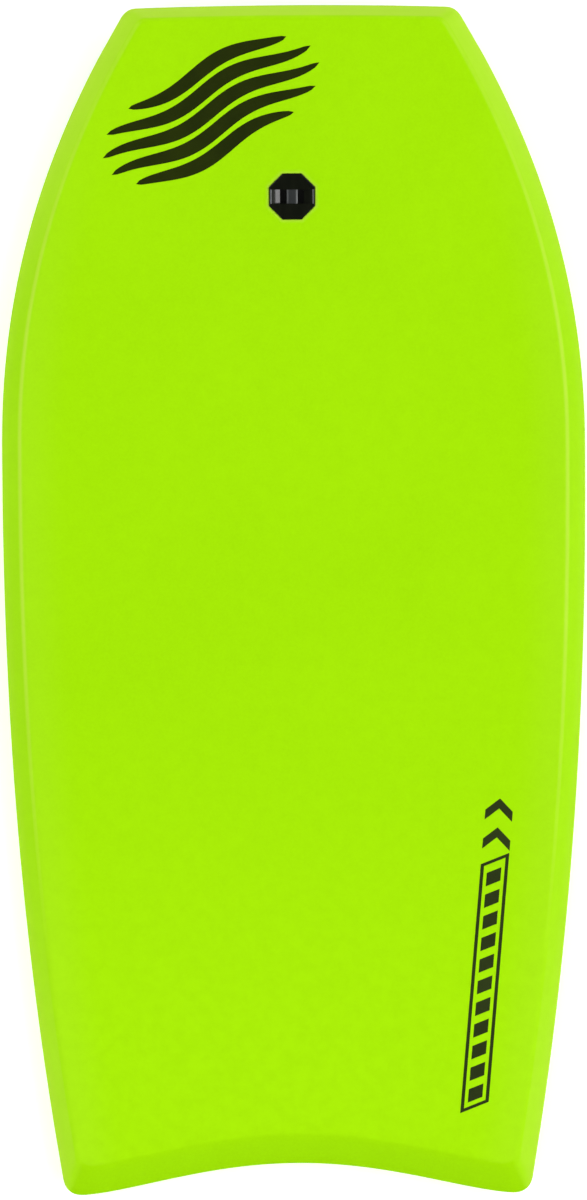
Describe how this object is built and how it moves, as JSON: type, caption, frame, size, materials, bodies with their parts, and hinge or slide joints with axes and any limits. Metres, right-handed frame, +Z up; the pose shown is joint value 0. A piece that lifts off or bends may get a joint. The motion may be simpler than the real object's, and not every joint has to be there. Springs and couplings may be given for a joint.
{
  "type": "bodyboard",
  "caption": "Foam bodyboard with a crescent tail, bevelled rails, nose rocker, a slick bottom and a screw-through leash plug near the nose.",
  "frame": {"origin": "on the flat of the slick bottom, at the middle of the board's length and width", "axes": "+X to the rider's right, +Y towards the nose, +Z up out of the deck"},
  "size_m": [0.5244, 1.067, 0.0737],
  "materials": {
    "foam_core": "moulded bead foam",
    "deck_foam": "closed-cell foam skin with a fine mottled pebble",
    "rail_foam": "closed-cell foam strip with a fine mottled pebble",
    "slick_film": "smooth satin sheet",
    "plug_plastic": "satin injection moulding",
    "gasket_rubber": "plain moulded rubber"
  },
  "bodies": {
    "board": {"core": "foam_core", "deck_skin": "deck_foam", "slick_bottom": "slick_film", "nose_bumper": "rail_foam", "rail_right": "rail_foam", "tail_bumper": "rail_foam", "rail_left": "rail_foam", "leash_plug_cap": "plug_plastic", "cap_gasket": "gasket_rubber"},
    "plug_washer": {"base_gasket": "gasket_rubber"},
    "plug_base": {"leash_plug_base": "plug_plastic"}
  },
  "joints": [
    {"name": "plug_base_travel", "type": "slide", "parent": "board", "child": "plug_washer", "axis": [0, 0.0862, -0.9963], "range_m": [0, 0.0151]},
    {"name": "plug_base_turn", "type": "hinge", "parent": "plug_washer", "child": "plug_base", "pos_m": [0, 0.3615, 0.06277], "axis": [0, 0.0862, -0.9963], "range_deg": [0, 1800]}
  ],
  "couplings": [
    {"joint": "plug_base_travel", "follows": "plug_base_turn", "m_per_rad": 0.00047746}
  ]
}
